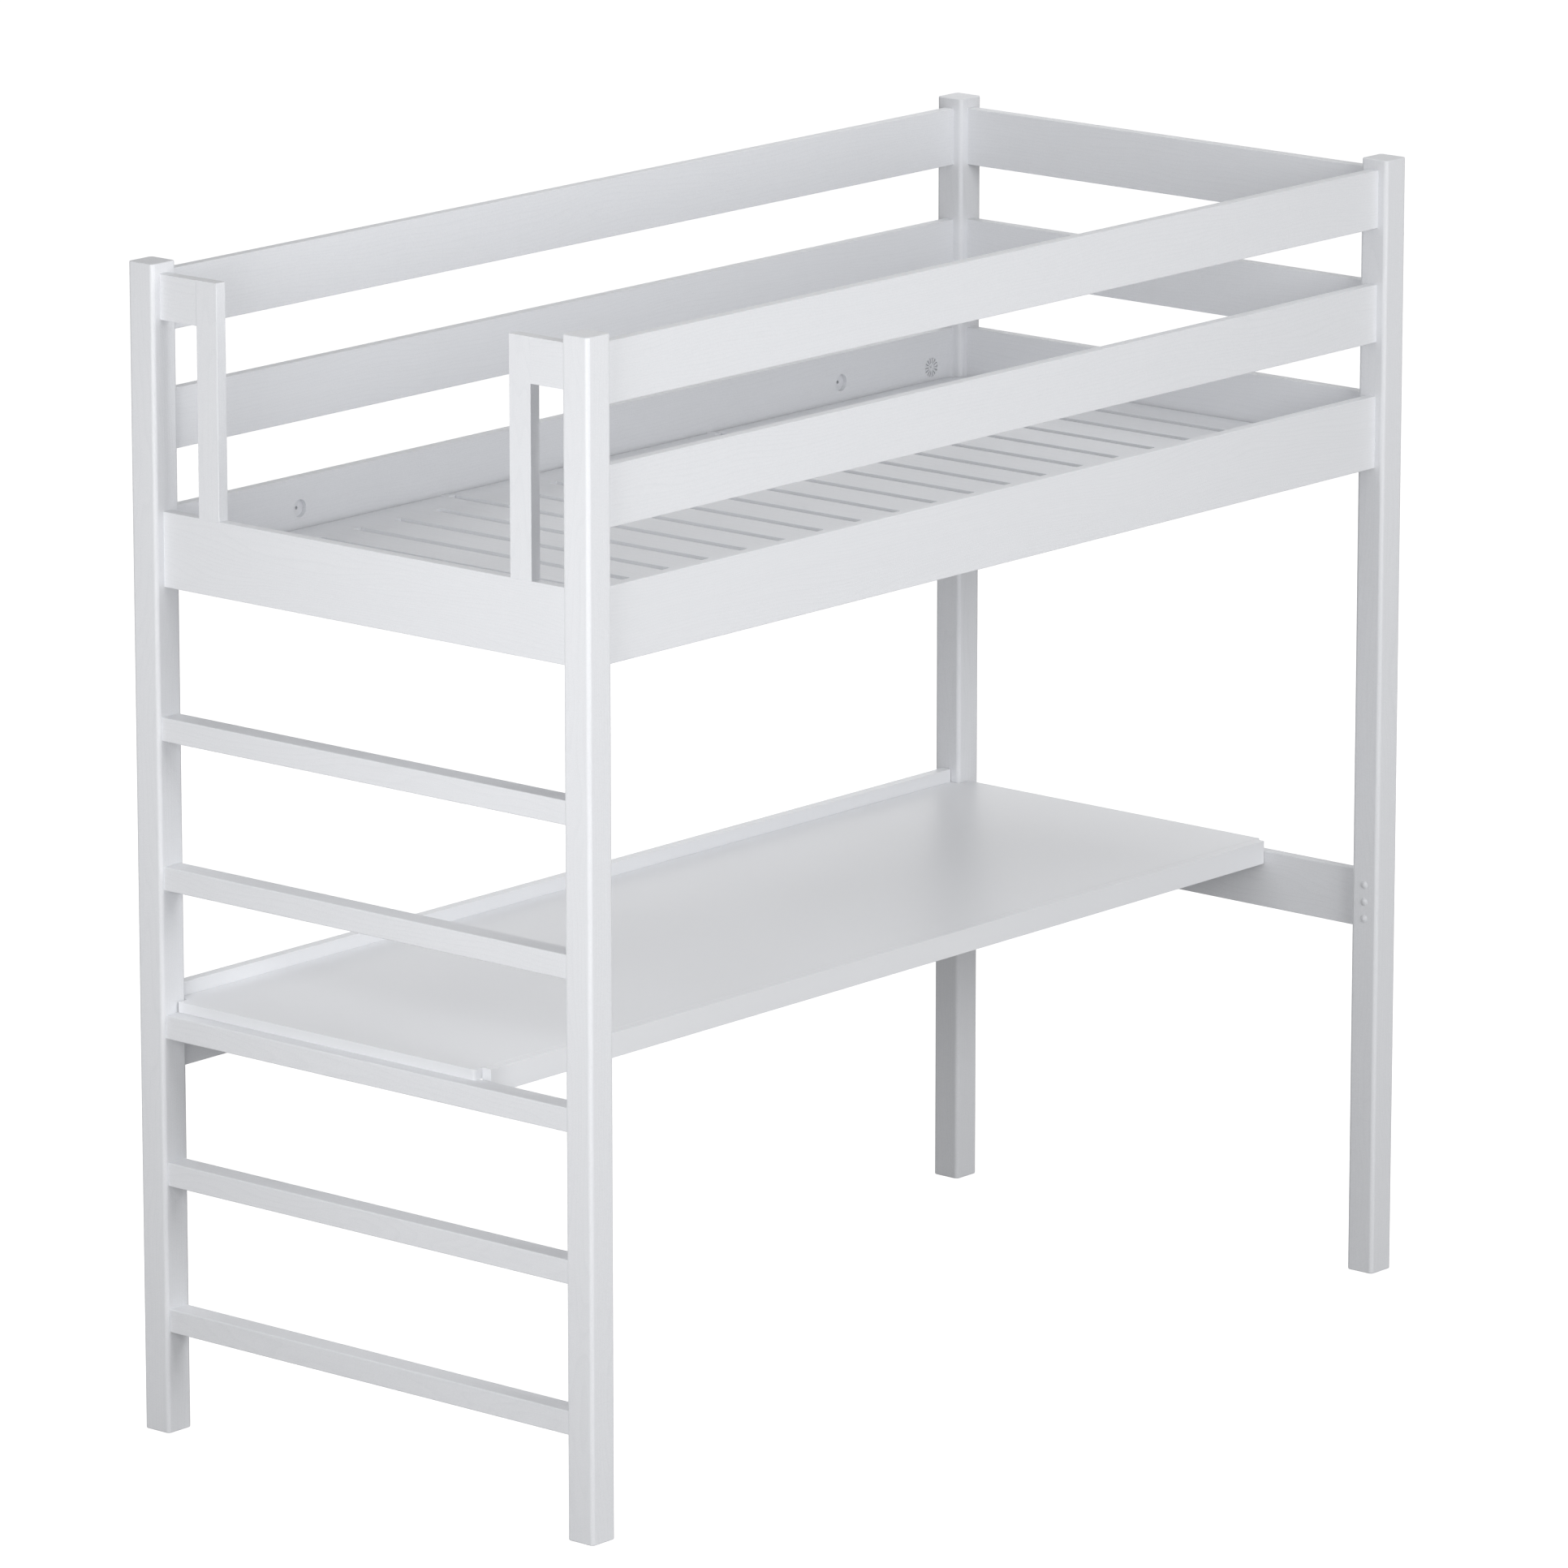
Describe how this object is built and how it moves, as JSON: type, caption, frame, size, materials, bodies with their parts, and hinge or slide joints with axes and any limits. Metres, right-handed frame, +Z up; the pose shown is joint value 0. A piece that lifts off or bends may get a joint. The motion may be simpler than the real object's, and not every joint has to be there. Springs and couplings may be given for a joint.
{
  "type": "loft bed with desk",
  "caption": "High sleeper bed in white-glazed pine with a ladder end, guard rails, a slotted panel base and a full-length desk top underneath.",
  "frame": {"origin": "on the floor under the middle of the bed", "axes": "+Z up, X along the bed with the ladder end at -X and the head end at +X, the open front of the desk at -Y and the back at +Y"},
  "size_m": [2.09, 0.99, 1.96],
  "materials": {
    "white_pine": "white glaze, satin",
    "white_board": "smooth white lacquer, satin",
    "beech": "raw fluted beech",
    "black_steel": "black, satin",
    "zinc": "zinc, satin",
    "white_plastic": "white, matt"
  },
  "bodies": {
    "bed": {"post_ladder_front": "white_pine", "post_ladder_back": "white_pine", "post_far_front": "white_pine", "post_far_back": "white_pine", "ladder_bed_board": "white_pine", "rung_1": "white_pine", "rung_2": "white_pine", "rung_3": "white_pine", "rung_4": "white_pine", "rung_5": "white_pine", "handle_top_front": "white_pine", "handle_top_back": "white_pine", "handle_upright_front": "white_pine", "handle_upright_back": "white_pine", "ladder_ledge": "white_pine", "ladder_dowels": "beech", "far_top_board": "white_pine", "far_middle_board": "white_pine", "far_bed_board": "white_pine", "far_desk_board": "white_pine", "far_ledge": "white_pine", "far_dowels": "beech", "back_top_rail": "white_pine", "back_middle_rail": "white_pine", "back_bed_rail": "white_pine", "back_desk_rail": "white_pine", "back_ledge": "white_pine", "front_top_rail": "white_pine", "front_middle_rail": "white_pine", "front_bed_rail": "white_pine", "front_ledge": "white_pine", "spacer_blocks": "white_pine", "ledge_screws": "zinc", "cam_bolts": "black_steel", "rail_dowels": "beech", "cam_locks": "zinc", "disc_locks": "white_plastic", "hole_caps": "white_plastic", "desk_plate": "white_board", "desk_back_strip": "white_board", "desk_front_strip": "white_board", "desk_dowels": "beech"},
    "panel_ladder_end": {"slat_panel_1": "white_pine"},
    "panel_middle": {"slat_panel_2": "white_pine"},
    "panel_head_end": {"slat_panel_3": "white_pine"}
  },
  "joints": [
    {"name": "lift_panel_1", "type": "slide", "parent": "bed", "child": "panel_ladder_end", "axis": [0, 0, 1], "range_m": [0, 0.55]},
    {"name": "lift_panel_2", "type": "slide", "parent": "bed", "child": "panel_middle", "axis": [0, 0, 1], "range_m": [0, 0.55]},
    {"name": "lift_panel_3", "type": "slide", "parent": "bed", "child": "panel_head_end", "axis": [0, 0, 1], "range_m": [0, 0.55]}
  ]
}
